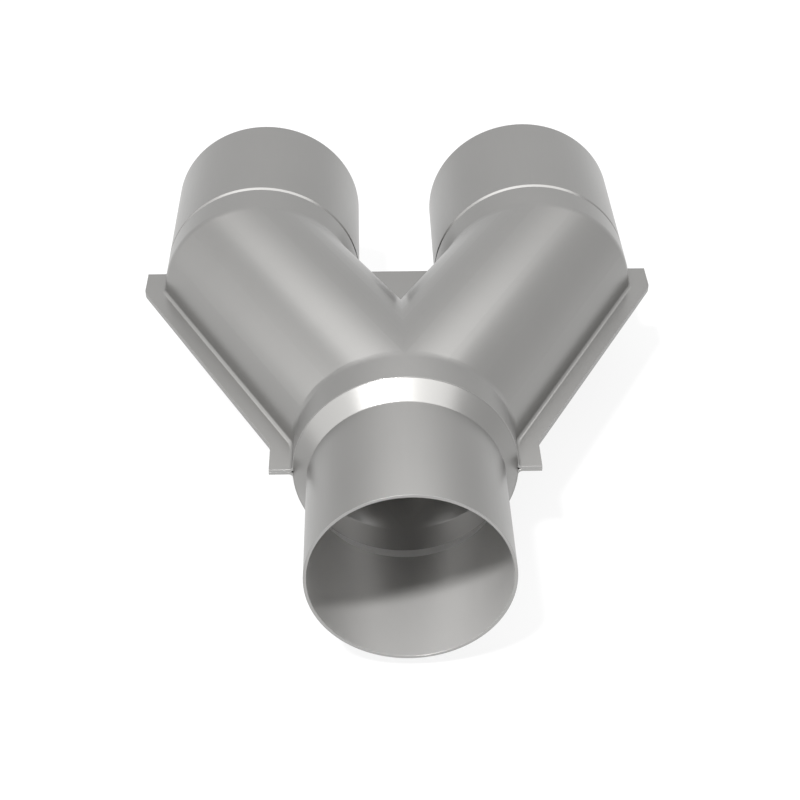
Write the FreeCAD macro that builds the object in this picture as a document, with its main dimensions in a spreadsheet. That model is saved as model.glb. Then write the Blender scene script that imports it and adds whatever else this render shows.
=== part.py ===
import FreeCAD, Part
import math
import os
import Sketcher

# Exhaust y-pipe, millimetres.
# Two equal stamped half shells lie face to face at the parting plane, Z = 0. Together they make a
# collar at the front, two ducts that part from it, a collar at the end of each duct, a flange along
# both outer sides and a flat web in the crotch. One smaller pipe is flared to fit inside the front
# collar, and two larger pipes are reduced to fit inside the rear collars.
# Frame: the origin is the centre of the single pipe's open end, +Y runs into the pipe and out
# through the two rear pipes, +X is to the right and +Z is up.

# Driving dimensions.
SIZES = {
    "single_radius": 44.45,  # outside radius of the single pipe
    "double_radius": 50.8,  # outside radius of the two rear pipes
    "collar_radius": 50.8,  # outside radius of the half shells' collars and ducts
    "pipe_wall": 1.3,  # wall of the three pipes
    "shell_wall": 1.3,  # thickness of the stamped sheet
    "fit_clearance": 0.1,  # radial play between a pipe's inserted end and its collar
    "single_reach": 73.95,  # length of single pipe in front of its collar
    "front_collar": 18.45,  # length from the front face to the ducts' first bend
    "duct_run": 136.2,  # length along Y between the ducts' two bends
    "duct_spread": 70.9,  # sideways shift of each duct, half the rear pipes' spacing
    "rear_collar": 18.4,  # length from the ducts' second bend to the rear face
    "double_reach": 74.5,  # length of the rear pipes behind their collars
    "bend_radius": 8.8,  # radius of the ducts' centreline at both bends
    "flange_width": 10.65,  # flange beyond the duct's side
    "foot_radius": 1.9,  # inside radius of the fold between duct wall and flange
    "cone_angle": 25,  # slope of the pipes' cones, degrees
    "narrow_seat": 1.2,  # depth inside its collar at which a narrower pipe's cone ends
    "wide_seat": 0.05,  # depth inside its collar at which a wider pipe's cone ends
    "end_gap": 1.4,  # distance that an inserted end stops short of its bend
}

doc = FreeCAD.newDocument("exhaust_y_pipe")
sheet = doc.addObject("Spreadsheet::Sheet", "Sizes")
for row, (alias, value) in enumerate(SIZES.items(), 1):
    sheet.set("A%d" % row, alias)
    sheet.set("B%d" % row, str(value))
    sheet.setAlias("B%d" % row, alias)
doc.recompute()

# Places along Y, as expressions of the sizes.
FRONT_FACE = "Sizes.single_reach"
FRONT_BEND = FRONT_FACE + " + Sizes.front_collar"
REAR_BEND = FRONT_BEND + " + Sizes.duct_run"
REAR_FACE = REAR_BEND + " + Sizes.rear_collar"
REAR_END = REAR_FACE + " + Sizes.double_reach"

# The duct's direction in the parting plane, and the tangent length of its bends.
DUCT_ANGLE = "atan(Sizes.duct_spread / Sizes.duct_run)"
TANGENT = "Sizes.bend_radius * tan(%s / 2)" % DUCT_ANGLE
TANGENT_X = "%s * sin(%s)" % (TANGENT, DUCT_ANGLE)
TANGENT_Y = "%s * cos(%s)" % (TANGENT, DUCT_ANGLE)

INNER_RADIUS = "Sizes.collar_radius - Sizes.shell_wall"
INSERT_RADIUS = INNER_RADIUS + " - Sizes.fit_clearance"

# The folds between duct and flange: their centre, seen from the duct's own, and where they end on it.
FOLD_Z = "(Sizes.shell_wall + Sizes.foot_radius)"
FOLD_X = "sqrt((Sizes.collar_radius + Sizes.foot_radius) ^ 2 - %s ^ 2)" % FOLD_Z
FOLD_TURN = "atan(%s / %s)" % (FOLD_Z, FOLD_X)

# Each duct surface is drawn as several arcs: the outer quarter as a few, and the crotch-side quarter,
# which the other duct trims at a slant, as more. The crotch-side fold is two arcs that meet here.
FREE_ARCS = 4
TRIMMED_ARCS = 9
FOLD_SPLIT = 0.6
Z_AXIS = FreeCAD.Vector(0, 0, 1)


def number(expression):
    """The value of an expression of the sizes."""
    result = sheet.evalExpression(expression)
    return float(getattr(result, "Value", result))


def point(corner):
    """A sketch corner, given as a pair of expressions, as a vector."""
    return FreeCAD.Vector(number(corner[0]), number(corner[1]), 0)


def plane(body, role):
    """One of a body's own origin planes."""
    return next(item for item in body.Origin.OriginFeatures if item.Role == role)


def new_sketch(body, name, role):
    """An empty sketch on one of the body's origin planes."""
    sketch = body.newObject("Sketcher::SketchObject", name)
    sketch.AttachmentSupport = [(plane(body, role), "")]
    sketch.MapMode = "FlatFace"
    return sketch


def bind(sketch, label, constraint, expression):
    """Add a dimension to a sketch and bind it to the sizes."""
    index = sketch.addConstraint(constraint)
    sketch.renameConstraint(index, label)
    sketch.setExpression("Constraints." + label, expression)


def place_point(sketch, label, geometry, end, corner):
    """Fix one end of a line or arc at a corner given by two expressions.

    In a sketch, -1 is the level axis and -2 the upright one, and the origin is -1's first point.
    """
    for axis, kind, zero_line, expression in zip("xy", ("DistanceX", "DistanceY"), (-2, -1), corner):
        if abs(number(expression)) < 1e-9:
            sketch.addConstraint(Sketcher.Constraint("PointOnObject", geometry, end, zero_line))
            continue
        dimension = Sketcher.Constraint(kind, -1, 1, geometry, end, number(expression))
        bind(sketch, "%s_%s" % (label, axis), dimension, expression)


def outline(sketch, corners, arcs=None):
    """Draw a closed outline through named corners, given as pairs of expressions.

    arcs names the corners from which an arc leads on, with its centre, radius and direction of turning.
    """
    names = list(corners)
    starts, ends = [], []
    for index, name in enumerate(names):
        first, last = point(corners[name]), point(corners[names[(index + 1) % len(names)]])
        if name not in (arcs or {}):
            sketch.addGeometry(Part.LineSegment(first, last), False)
            starts.append(1)
            ends.append(2)
            continue
        centre, radius, leftward = arcs[name]
        middle = point(centre)
        turns = [math.atan2(corner.y - middle.y, corner.x - middle.x) for corner in (first, last)]
        circle = Part.Circle(middle, Z_AXIS, number(radius))
        sketch.addGeometry(Part.ArcOfCircle(circle, *(turns if leftward else reversed(turns))), False)
        bind(sketch, name + "_radius", Sketcher.Constraint("Radius", index, number(radius)), radius)
        starts.append(1 if leftward else 2)
        ends.append(2 if leftward else 1)
    for index, name in enumerate(names):
        after = (index + 1) % len(names)
        sketch.addConstraint(Sketcher.Constraint("Coincident", index, ends[index], after, starts[after]))
    for index, name in enumerate(names):
        place_point(sketch, name, index, starts[index], corners[name])


def duct_path(body, name):
    """Draw the right duct's centreline: straight, bend, oblique run, bend, straight."""
    sketch = new_sketch(body, name, "XY_Plane")
    stops = {
        "start": ("0", FRONT_FACE),
        "bend_in": ("0", "%s - %s" % (FRONT_BEND, TANGENT)),
        "run_start": (TANGENT_X, "%s + %s" % (FRONT_BEND, TANGENT_Y)),
        "run_end": ("Sizes.duct_spread - %s" % TANGENT_X, "%s - %s" % (REAR_BEND, TANGENT_Y)),
        "bend_out": ("Sizes.duct_spread", "%s + %s" % (REAR_BEND, TANGENT)),
        "finish": ("Sizes.duct_spread", REAR_FACE),
    }
    place = {stop: point(corner) for stop, corner in stops.items()}
    radius = number("Sizes.bend_radius")
    turn = math.radians(number(DUCT_ANGLE))
    first_centre = place["bend_in"] + FreeCAD.Vector(radius, 0, 0)
    last_centre = place["bend_out"] - FreeCAD.Vector(radius, 0, 0)
    sketch.addGeometry([
        Part.LineSegment(place["start"], place["bend_in"]),
        Part.ArcOfCircle(Part.Circle(first_centre, Z_AXIS, radius), math.pi - turn, math.pi),
        Part.LineSegment(place["run_start"], place["run_end"]),
        Part.ArcOfCircle(Part.Circle(last_centre, Z_AXIS, radius), -turn, 0),
        Part.LineSegment(place["bend_out"], place["finish"]),
    ], False)
    for first, first_end, second, second_end in ((0, 2, 1, 2), (1, 1, 2, 1), (2, 2, 3, 1), (3, 2, 4, 1)):
        sketch.addConstraint(Sketcher.Constraint("Coincident", first, first_end, second, second_end))
    for stop, geometry, end in (("start", 0, 1), ("bend_in", 0, 2), ("run_start", 2, 1),
                                ("run_end", 2, 2), ("bend_out", 4, 1), ("finish", 4, 2)):
        place_point(sketch, stop, geometry, end, stops[stop])
    for label, geometry in (("first_bend", 1), ("last_bend", 3)):
        bind(sketch, label, Sketcher.Constraint("Radius", geometry, radius), "Sizes.bend_radius")
    return sketch


def around(centre, radius, turn):
    """The place on a circle at a turn from its right side."""
    x, y = centre
    return ("%s + (%s) * cos(%s)" % (x, radius, turn), "%s + (%s) * sin(%s)" % (y, radius, turn))


def wall_arcs(radius, label):
    """Corners of one duct surface, from its right fold over the crown to its left fold."""
    quarter = "(90 deg - %s)" % FOLD_TURN
    turns = ["%s + %s * %d / %d" % (FOLD_TURN, quarter, index, FREE_ARCS) for index in range(FREE_ARCS)]
    turns += ["90 deg + %s * %d / %d" % (quarter, index, TRIMMED_ARCS) for index in range(TRIMMED_ARCS + 1)]
    return {"%s_%d" % (label, index): around(("0", "0"), radius, turn) for index, turn in enumerate(turns)}


def hat_section(body, name):
    """Draw the sheet's section where the ducts start: flange, fold, half round, fold and web."""
    sketch = new_sketch(body, name, "XZ_Plane")
    sketch.setExpression("AttachmentOffset.Base.z", "-(%s) * 1 mm" % FRONT_FACE)
    outer, inner = wall_arcs("Sizes.collar_radius", "outer"), wall_arcs(INNER_RADIUS, "inner")
    outer_names, inner_names = list(outer), list(reversed(inner))
    flange_edge = "Sizes.collar_radius + Sizes.flange_width"
    web_edge = "-(Sizes.duct_spread + Sizes.flange_width)"
    right_centre, left_centre, middle = (FOLD_X, FOLD_Z), ("-" + FOLD_X, FOLD_Z), ("0", "0")
    fold_outside, fold_inside = "Sizes.foot_radius", "(Sizes.foot_radius + Sizes.shell_wall)"
    split = "-(90 deg + %s) * %s" % (FOLD_TURN, FOLD_SPLIT)
    corners = {"flange_top": (flange_edge, "Sizes.shell_wall"), "right_fold": (FOLD_X, "Sizes.shell_wall")}
    corners.update(outer)
    corners.update({
        "left_fold_split": around(left_centre, fold_outside, split),
        "left_fold": ("-" + FOLD_X, "Sizes.shell_wall"),
        "web_top": (web_edge, "Sizes.shell_wall"),
        "web_bottom": (web_edge, "0"),
        "left_fold_under": ("-" + FOLD_X, "0"),
        "left_fold_under_split": around(left_centre, fold_inside, split),
    })
    corners.update({label: inner[label] for label in inner_names})
    corners.update({"right_fold_under": (FOLD_X, "0"), "flange_bottom": (flange_edge, "0")})
    arcs = {label: (middle, "Sizes.collar_radius", True) for label in outer_names[:-1]}
    arcs.update({label: (middle, INNER_RADIUS, False) for label in inner_names[:-1]})
    arcs.update({
        "right_fold": (right_centre, fold_outside, False),
        outer_names[-1]: (left_centre, fold_outside, False),
        "left_fold_split": (left_centre, fold_outside, False),
        "left_fold_under": (left_centre, fold_inside, True),
        "left_fold_under_split": (left_centre, fold_inside, True),
        inner_names[-1]: (right_centre, fold_inside, True),
    })
    outline(sketch, corners, arcs)
    return sketch


def half_shell(name):
    """One stamped half shell: a hat section swept along the right duct, cut at the middle and mirrored."""
    body = doc.addObject("PartDesign::Body", name)
    body.Label = name
    section = hat_section(body, name + "_section")
    path = duct_path(body, name + "_path")
    doc.recompute()
    duct = body.newObject("PartDesign::AdditivePipe", name + "_duct")
    duct.Profile = section
    duct.Spine = (path, ["Edge%d" % (index + 1) for index in range(5)])
    duct.Mode = "Fixed"
    duct.Transition = "Transformed"
    doc.recompute()
    left_side = new_sketch(body, name + "_left_side", "YZ_Plane")
    outline(left_side, {
        "low_front": ("0", "-Sizes.collar_radius"),
        "low_rear": (REAR_END, "-Sizes.collar_radius"),
        "high_rear": (REAR_END, "2 * Sizes.collar_radius"),
        "high_front": ("0", "2 * Sizes.collar_radius"),
    })
    right_half = body.newObject("PartDesign::Pocket", name + "_right_half")
    right_half.Profile = left_side
    right_half.Type = 1
    doc.recompute()
    whole = body.newObject("PartDesign::Mirrored", name + "_whole")
    whole.TransformMode = "Whole shape"
    whole.MirrorPlane = (plane(body, "YZ_Plane"), [""])
    whole.Refine = True
    body.Tip = whole
    doc.recompute()
    return body


def swaged_pipe(name, profile, sideways):
    """A pipe turned from its profile of (Y, radius) corners about its own axis."""
    body = doc.addObject("PartDesign::Body", name)
    body.Label = name
    sketch = new_sketch(body, name + "_profile", "YZ_Plane")
    outline(sketch, profile)
    doc.recompute()
    turned = body.newObject("PartDesign::Revolution", name + "_wall")
    turned.Profile = sketch
    turned.ReferenceAxis = (sketch, ["H_Axis"])
    turned.Angle = 360
    doc.recompute()
    body.setExpression("Placement.Base.x", "(%s) * 1 mm" % sideways)
    return body


def inside(radius):
    """The bore that goes with an outside radius."""
    return "%s - Sizes.pipe_wall" % radius


def cone(radius):
    """Of the cone between a pipe's outside radius and its collar: depth, length, and its bore's shift.

    The shift runs away from the collar, and it keeps the wall as thick on the cone as on the pipe.
    """
    wider = "%s > %s" % (radius, INSERT_RADIUS)
    depth = "(%s ? Sizes.wide_seat : Sizes.narrow_seat)" % wider
    length = "abs(%s - (%s)) / tan(Sizes.cone_angle * 1 deg)" % (radius, INSERT_RADIUS)
    shift = "(%s ? 1 : -1) * Sizes.pipe_wall * tan(Sizes.cone_angle * 0.5 deg)" % wider
    return depth, length, shift


# Upper shell, and the lower one, which is the same stamping turned over.
upper_shell = half_shell("upper_shell")
lower_shell = doc.addObject("PartDesign::Body", "lower_shell")
lower_shell.BaseFeature = upper_shell
lower_shell.Placement = FreeCAD.Placement(FreeCAD.Vector(0, 0, 0), FreeCAD.Vector(0, 1, 0), 180)
doc.recompute()

# Single pipe: straight, then a cone that widens it to slip inside the front collar.
FLARE_DEPTH, FLARE, FLARE_SHIFT = cone("Sizes.single_radius")
FLARE_END = "%s + %s" % (FRONT_FACE, FLARE_DEPTH)
FLARE_START = "%s - %s" % (FLARE_END, FLARE)
SINGLE_INSERT_END = FRONT_BEND + " - Sizes.end_gap"
single_pipe = swaged_pipe("single_pipe", {
    "open_end": ("0", "Sizes.single_radius"),
    "flare_start": (FLARE_START, "Sizes.single_radius"),
    "flare_end": (FLARE_END, INSERT_RADIUS),
    "insert_end": (SINGLE_INSERT_END, INSERT_RADIUS),
    "insert_bore": (SINGLE_INSERT_END, inside(INSERT_RADIUS)),
    "flare_end_bore": ("%s - %s" % (FLARE_END, FLARE_SHIFT), inside(INSERT_RADIUS)),
    "flare_start_bore": ("%s - %s" % (FLARE_START, FLARE_SHIFT), inside("Sizes.single_radius")),
    "open_end_bore": ("0", inside("Sizes.single_radius")),
}, "0")

# Rear pipes: straight, with a short cone that reduces them to slip inside their collars.
TAPER_DEPTH, TAPER, TAPER_SHIFT = cone("Sizes.double_radius")
TAPER_START = "%s - %s" % (REAR_FACE, TAPER_DEPTH)
TAPER_END = "%s + %s" % (TAPER_START, TAPER)
DOUBLE_INSERT_END = "%s + %s + Sizes.end_gap" % (REAR_BEND, TANGENT)
REAR_PROFILE = {
    "insert_end": (DOUBLE_INSERT_END, INSERT_RADIUS),
    "taper_start": (TAPER_START, INSERT_RADIUS),
    "taper_end": (TAPER_END, "Sizes.double_radius"),
    "open_end": (REAR_END, "Sizes.double_radius"),
    "open_end_bore": (REAR_END, inside("Sizes.double_radius")),
    "taper_end_bore": ("%s + %s" % (TAPER_END, TAPER_SHIFT), inside("Sizes.double_radius")),
    "taper_start_bore": ("%s + %s" % (TAPER_START, TAPER_SHIFT), inside(INSERT_RADIUS)),
    "insert_end_bore": (DOUBLE_INSERT_END, inside(INSERT_RADIUS)),
}
left_pipe = swaged_pipe("left_pipe", REAR_PROFILE, "-Sizes.duct_spread")
right_pipe = swaged_pipe("right_pipe", REAR_PROFILE, "Sizes.duct_spread")

doc.recompute()
pieces = [upper_shell, lower_shell, single_pipe, left_pipe, right_pipe]
for item in doc.Objects:
    if {"Invalid", "Error"} & set(item.State):
        raise RuntimeError("%s failed: %s" % (item.Label, item.State))
for piece in pieces:
    if piece.Shape.isNull() or not piece.Shape.isValid() or len(piece.Shape.Solids) != 1:
        raise RuntimeError("%s isn't one valid solid" % piece.Label)

os.makedirs("parts", exist_ok=True)
for piece in pieces:
    piece.Shape.exportStep(os.path.join("parts", piece.Label + ".step"))
    box = piece.Shape.BoundBox
    print("%-12s volume %.1f  X %.2f..%.2f  Y %.2f..%.2f  Z %.2f..%.2f" % (
        piece.Label, piece.Shape.Volume, box.XMin, box.XMax, box.YMin, box.YMax, box.ZMin, box.ZMax))
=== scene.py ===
import math

import bpy
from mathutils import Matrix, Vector


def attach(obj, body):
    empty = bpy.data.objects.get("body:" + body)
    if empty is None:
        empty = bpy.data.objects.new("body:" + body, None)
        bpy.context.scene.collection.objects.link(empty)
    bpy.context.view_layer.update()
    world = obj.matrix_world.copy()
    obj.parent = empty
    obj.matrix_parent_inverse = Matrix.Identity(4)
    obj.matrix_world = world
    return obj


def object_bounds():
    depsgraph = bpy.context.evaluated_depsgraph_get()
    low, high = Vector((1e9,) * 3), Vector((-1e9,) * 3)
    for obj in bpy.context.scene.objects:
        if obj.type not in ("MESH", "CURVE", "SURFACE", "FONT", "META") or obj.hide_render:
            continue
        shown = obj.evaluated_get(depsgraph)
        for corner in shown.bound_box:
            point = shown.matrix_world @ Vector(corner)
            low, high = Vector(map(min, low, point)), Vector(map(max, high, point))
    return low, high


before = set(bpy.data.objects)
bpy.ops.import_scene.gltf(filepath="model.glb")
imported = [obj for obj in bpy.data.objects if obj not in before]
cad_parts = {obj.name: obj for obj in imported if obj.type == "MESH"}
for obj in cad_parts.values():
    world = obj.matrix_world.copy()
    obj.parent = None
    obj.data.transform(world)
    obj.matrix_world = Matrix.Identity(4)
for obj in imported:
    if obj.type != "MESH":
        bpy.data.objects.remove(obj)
cad_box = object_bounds()

# Pieces of the model: the half shells, and the pipes with their axes' places along X, in metres.
SHELL_NODES = ("upper_shell", "lower_shell")
PIPE_AXES = {"single_pipe": 0.0, "left_pipe": -0.0709, "right_pipe": 0.0709}

# Camera, from the perspective of the photograph: metres and degrees in the part's own frame.
CAMERA_PLACE = (-0.01689, -0.51589, 0.45241)
CAMERA_ELEVATION = 35.04
CAMERA_AZIMUTH = 1.39
CAMERA_LENS = 74.45
CAMERA_NEAR = 0.01

# Studio. BACKGROUND, SURROUND and a softbox's level are radiances, where 1 is white.
BACKGROUND = 0.985
SURROUND = 0.2
FLOOR_SIZE = 8.0
FLOOR_COLOUR = (0.85, 0.85, 0.85, 1)
FLOOR_SHADOW = 0.10
KEY_WAY = (-0.28, -0.43, 0.86)
KEY_STRENGTH = 6.0
KEY_ANGLE = 7.0
# Softboxes: place, width and level.
OVERHEAD = ((0.0, 0.1, 1.3), 2.5, 1.9)
LEFT_BOX = ((-1.8, 0.1, 0.6), 1.6, 1.25)

# Steel outside and on cut edges; paler steel inside, its paleness painted light for the shaded
# hollows; and a near white painted highlight on the flared insides of the pipes' ends.
STEEL = (0.258, 0.255, 0.249)
CUT_STEEL = (0.37, 0.367, 0.360)
PAINTED_LIGHT_INSIDE_STEEL = (0.50, 0.495, 0.486)
PAINTED_HIGHLIGHT_FLARE_STEEL = (0.90, 0.895, 0.885)
METALLIC = 1.0
INSIDE_METALLIC = 0.65
FLARE_METALLIC = 0.0
GLOSS = (0.30, 0.36)
INSIDE_GLOSS = (0.28, 0.34)
TINT = (0.97, 1.03)

# How far a face has to turn towards the part's ends to count as a cut edge or as a flare.
CUT_FACING = 0.97
FLARE_FACING = 0.3

# Fine texture: the grain's scale along each axis, its relief, and the scale of the cloudy tint.
EVEN_GRAIN = (900, 900, 900)
ROLLED_GRAIN = (1500, 60, 1500)
GRAIN_STRENGTH = 0.25
GRAIN_RELIEF = 0.00003
CLOUD_SCALE = 28.0

# Edge radii, in metres.
SHELL_EDGE = 0.0003
PIPE_EDGE = 0.0002
SEAM_EDGE = 0.0002

# Softened crease between the ducts, in metres: half widths outside and inside, and its stretch.
VALLEY = 0.0045
SPLITTER = 0.0095
CREASE_FROM = 0.104
CREASE_TO = 0.188

# Seams where the pipes meet the collars: the axis, then the profile as distances along the part
# and from the axis, in metres.
SEAM_STEPS = 144
SEAM_CREASE = 30.0
FRONT_SEAM = (0.0, ((0.06600, 0.0449), (0.06470, 0.04447), (0.07390, 0.05055),
                    (0.07520, 0.0502), (0.07520, 0.0493)))
REAR_SEAM = (0.0709, ((0.24690, 0.0489), (0.24690, 0.05015),
                      (0.24855, 0.05015), (0.24855, 0.0495)))


class Nodes:
    """Short calls for building one node tree."""

    def __init__(self, owner):
        owner.use_nodes = True
        self.tree = owner.node_tree
        self.tree.nodes.clear()

    def add(self, kind, inputs=None, **settings):
        """Add a node, set its properties, and set or link its inputs."""
        node = self.tree.nodes.new(kind)
        for name, value in settings.items():
            setattr(node, name, value)
        for name, value in (inputs or {}).items():
            if isinstance(value, bpy.types.NodeSocket):
                self.tree.links.new(value, node.inputs[name])
            else:
                node.inputs[name].default_value = value
        return node

    def math(self, operation, first, second=0.0):
        """The result of one sum."""
        return self.add("ShaderNodeMath", {0: first, 1: second}, operation=operation).outputs[0]

    def between(self, share, low, high):
        """A number between two others, by a share from 0 to 1."""
        return self.add("ShaderNodeMapRange",
                        {"Value": share, "To Min": low, "To Max": high}).outputs[0]

    def mixed(self, share, low, high):
        """A colour between two others, by a share from 0 to 1."""
        return self.add("ShaderNodeMix", {"Factor": share, 6: low, 7: high},
                        data_type="RGBA").outputs[2]

    def split(self, vector):
        """The X, Y and Z of a vector."""
        return self.add("ShaderNodeSeparateXYZ", {0: vector}).outputs

    def noise(self, place, scale, detail):
        """Soft noise from 0 to 1."""
        return self.add("ShaderNodeTexNoise",
                        {"Vector": place, "Scale": scale, "Detail": detail}).outputs[0]

    def emission(self, kind, level):
        """White light from a lamp-like shader of the given kind."""
        return self.add(kind, {"Color": (1, 1, 1, 1), "Strength": level}).outputs[0]

    def seen_directly(self):
        """1 for rays that should meet the plain background: camera, glossy and transmission."""
        path = self.add("ShaderNodeLightPath").outputs
        shiny = self.math("MAXIMUM", path["Is Glossy Ray"], path["Is Transmission Ray"])
        return self.math("MAXIMUM", path["Is Camera Ray"], shiny)


def uncreased(nodes, normal, spot, inside):
    """The shells' normal, turned smoothly through the crease between the ducts."""
    parts = nodes.split(normal)
    width = nodes.between(inside, VALLEY, SPLITTER)
    fade = nodes.add("ShaderNodeMapRange",
                     {"Value": nodes.math("ABSOLUTE", spot["X"]), "From Max": width},
                     interpolation_type="SMOOTHSTEP").outputs[0]
    behind_collar = nodes.math("GREATER_THAN", spot["Y"], CREASE_FROM)
    before_web = nodes.math("LESS_THAN", spot["Y"], CREASE_TO)
    along = nodes.math("MULTIPLY", behind_collar, before_web)
    sideways = nodes.math("MULTIPLY", parts["X"], nodes.between(along, 1.0, fade))
    turned = nodes.add("ShaderNodeCombineXYZ",
                       {"X": sideways, "Y": parts["Y"], "Z": parts["Z"]}).outputs[0]
    return nodes.add("ShaderNodeVectorMath", {0: turned}, operation="NORMALIZE").outputs[0]


def steel(name, soft_edge, grain_scale, axis=None):
    """Satin steel with a fine grain and an uneven gloss, paler on cut edges, and paler inside as
    painted light on the shaded hollows.

    A round piece gives its axis, and its flared insides carry a near white painted highlight.
    Without an axis the material is the shells', whose crease is softened.
    """
    material = bpy.data.materials.new(name)
    nodes = Nodes(material)
    place = nodes.add("ShaderNodeTexCoord").outputs
    grain_place = nodes.add("ShaderNodeMapping",
                            {"Vector": place["Object"], "Scale": grain_scale}).outputs[0]
    grain = nodes.noise(grain_place, 1.0, 3.0)
    cloud = nodes.noise(place["Object"], CLOUD_SCALE, 4.0)
    spot = nodes.split(place["Object"])
    facing = nodes.split(place["Normal"])
    endways = nodes.math("ABSOLUTE", facing["Y"])
    outwards = nodes.math("MULTIPLY", facing["Z"], spot["Z"])
    if axis is not None:
        sideways = nodes.math("MULTIPLY", facing["X"], nodes.math("SUBTRACT", spot["X"], axis))
        outwards = nodes.math("ADD", outwards, sideways)
    inside = nodes.math("LESS_THAN", outwards, -0.000001)

    normal = nodes.add("ShaderNodeBevel", {"Radius": soft_edge}, samples=8).outputs[0]
    if axis is None:
        normal = uncreased(nodes, normal, spot, inside)
    bump = nodes.add("ShaderNodeBump", {
        "Strength": GRAIN_STRENGTH, "Distance": GRAIN_RELIEF,
        "Height": grain, "Normal": normal}).outputs[0]

    skin = nodes.mixed(nodes.math("GREATER_THAN", endways, CUT_FACING),
                       (*STEEL, 1), (*CUT_STEEL, 1))
    # Painted light: the lining's paler colour brightens the shaded insides; its lower metallic
    # is the inside's finish.
    painted_light_lining, lining_metal = (*PAINTED_LIGHT_INSIDE_STEEL, 1), INSIDE_METALLIC
    if axis is not None:
        # Painted highlight: the flared insides get a near white, non-metallic colour that shows
        # as a bright ring.
        painted_highlight_flare = nodes.math("GREATER_THAN", endways, FLARE_FACING)
        painted_light_lining = nodes.mixed(painted_highlight_flare, painted_light_lining, (*PAINTED_HIGHLIGHT_FLARE_STEEL, 1))
        lining_metal = nodes.between(painted_highlight_flare, INSIDE_METALLIC, FLARE_METALLIC)
    tint = nodes.add("ShaderNodeVectorMath", {
        0: nodes.mixed(inside, skin, painted_light_lining),
        "Scale": nodes.between(cloud, *TINT)}, operation="SCALE").outputs[0]
    gloss = nodes.between(grain, nodes.between(inside, GLOSS[0], INSIDE_GLOSS[0]),
                          nodes.between(inside, GLOSS[1], INSIDE_GLOSS[1]))
    surface = nodes.add("ShaderNodeBsdfPrincipled", {
        "Base Color": tint, "Roughness": gloss, "Normal": bump,
        "Metallic": nodes.between(inside, METALLIC, lining_metal)}).outputs[0]
    nodes.add("ShaderNodeOutputMaterial", {"Surface": surface})
    return material


def dress(name, material):
    """Give a piece of the model its material."""
    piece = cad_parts[name]
    piece.data.materials.clear()
    piece.data.materials.append(material)


def seam(name, axis, profile):
    """A filled seam all round a collar: its profile turned about the pipe's axis."""
    turns = [2 * math.pi * step / SEAM_STEPS for step in range(SEAM_STEPS)]
    points = [(axis + reach * math.cos(turn), along, reach * math.sin(turn))
              for turn in turns for along, reach in profile]
    count = len(profile)
    faces = []
    for row in range(SEAM_STEPS):
        here, there = row * count, (row + 1) % SEAM_STEPS * count
        for spot in range(count):
            after = (spot + 1) % count
            faces.append((here + spot, here + after, there + after, there + spot))
    mesh = bpy.data.meshes.new(name)
    mesh.from_pydata(points, [], faces)
    mesh.shade_smooth()
    mesh.set_sharp_from_angle(angle=math.radians(SEAM_CREASE))
    mesh.materials.append(steel(name + "_steel", SEAM_EDGE, EVEN_GRAIN, axis))
    piece = bpy.data.objects.new(name, mesh)
    bpy.context.collection.objects.link(piece)
    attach(piece, "root")


def floor():
    """Pale floor on which the part lies: near white in view, with the part's shadow kept."""
    bpy.ops.mesh.primitive_plane_add(size=FLOOR_SIZE, location=(0, 0, cad_box[0][2]))
    plane = bpy.context.object
    plane.name = "floor"
    material = bpy.data.materials.new("floor_paper")
    nodes = Nodes(material)
    lit = nodes.add("ShaderNodeBsdfDiffuse", {"Color": FLOOR_COLOUR}).outputs[0]
    plain = nodes.emission("ShaderNodeEmission", BACKGROUND)
    seen = nodes.math("MULTIPLY", nodes.seen_directly(), 1 - FLOOR_SHADOW)
    surface = nodes.add("ShaderNodeMixShader", {0: seen, 1: lit, 2: plain}).outputs[0]
    nodes.add("ShaderNodeOutputMaterial", {"Surface": surface})
    plane.data.materials.append(material)


def room():
    """Even room light, and a plain white background for the rays that see it directly."""
    world = bpy.data.worlds.new("room")
    bpy.context.scene.world = world
    nodes = Nodes(world)
    light = nodes.emission("ShaderNodeBackground", SURROUND)
    plain = nodes.emission("ShaderNodeBackground", BACKGROUND)
    surface = nodes.add("ShaderNodeMixShader",
                        {0: nodes.seen_directly(), 1: light, 2: plain}).outputs[0]
    nodes.add("ShaderNodeOutputWorld", {"Surface": surface})


def key():
    """The key lamp: a broad distant lamp from above and in front, a little to the left."""
    data = bpy.data.lights.new("key", "SUN")
    data.energy = KEY_STRENGTH
    data.angle = math.radians(KEY_ANGLE)
    lamp = bpy.data.objects.new("key", data)
    bpy.context.collection.objects.link(lamp)
    lamp.rotation_euler = Vector(KEY_WAY).to_track_quat("Z", "Y").to_euler()


def softbox(name, place, width, level):
    """A square softbox that faces the part, out of the camera's sight."""
    data = bpy.data.lights.new(name, "AREA")
    data.shape = "SQUARE"
    data.size = width
    data.energy = level * math.pi * width ** 2
    lamp = bpy.data.objects.new(name, data)
    bpy.context.collection.objects.link(lamp)
    lamp.location = place
    lamp.rotation_euler = Vector(place).to_track_quat("Z", "Y").to_euler()
    lamp.visible_camera = False


def camera():
    """The photograph's viewpoint."""
    data = bpy.data.cameras.new("camera")
    data.lens = CAMERA_LENS
    data.clip_start = CAMERA_NEAR
    eye = bpy.data.objects.new("camera", data)
    bpy.context.collection.objects.link(eye)
    eye.location = CAMERA_PLACE
    eye.rotation_euler = (math.radians(90 - CAMERA_ELEVATION), 0, math.radians(-CAMERA_AZIMUTH))
    bpy.context.scene.camera = eye


shell_steel = steel("shell_steel", SHELL_EDGE, EVEN_GRAIN)
for name in SHELL_NODES:
    dress(name, shell_steel)
for name, axis in PIPE_AXES.items():
    dress(name, steel(name + "_steel", PIPE_EDGE, ROLLED_GRAIN, axis))
seam("front_seam", *FRONT_SEAM)
seam("left_seam", -REAR_SEAM[0], REAR_SEAM[1])
seam("right_seam", *REAR_SEAM)
floor()
room()
key()
softbox("overhead", *OVERHEAD)
softbox("left_box", *LEFT_BOX)
camera()
bpy.context.scene.view_settings.view_transform = "Standard"
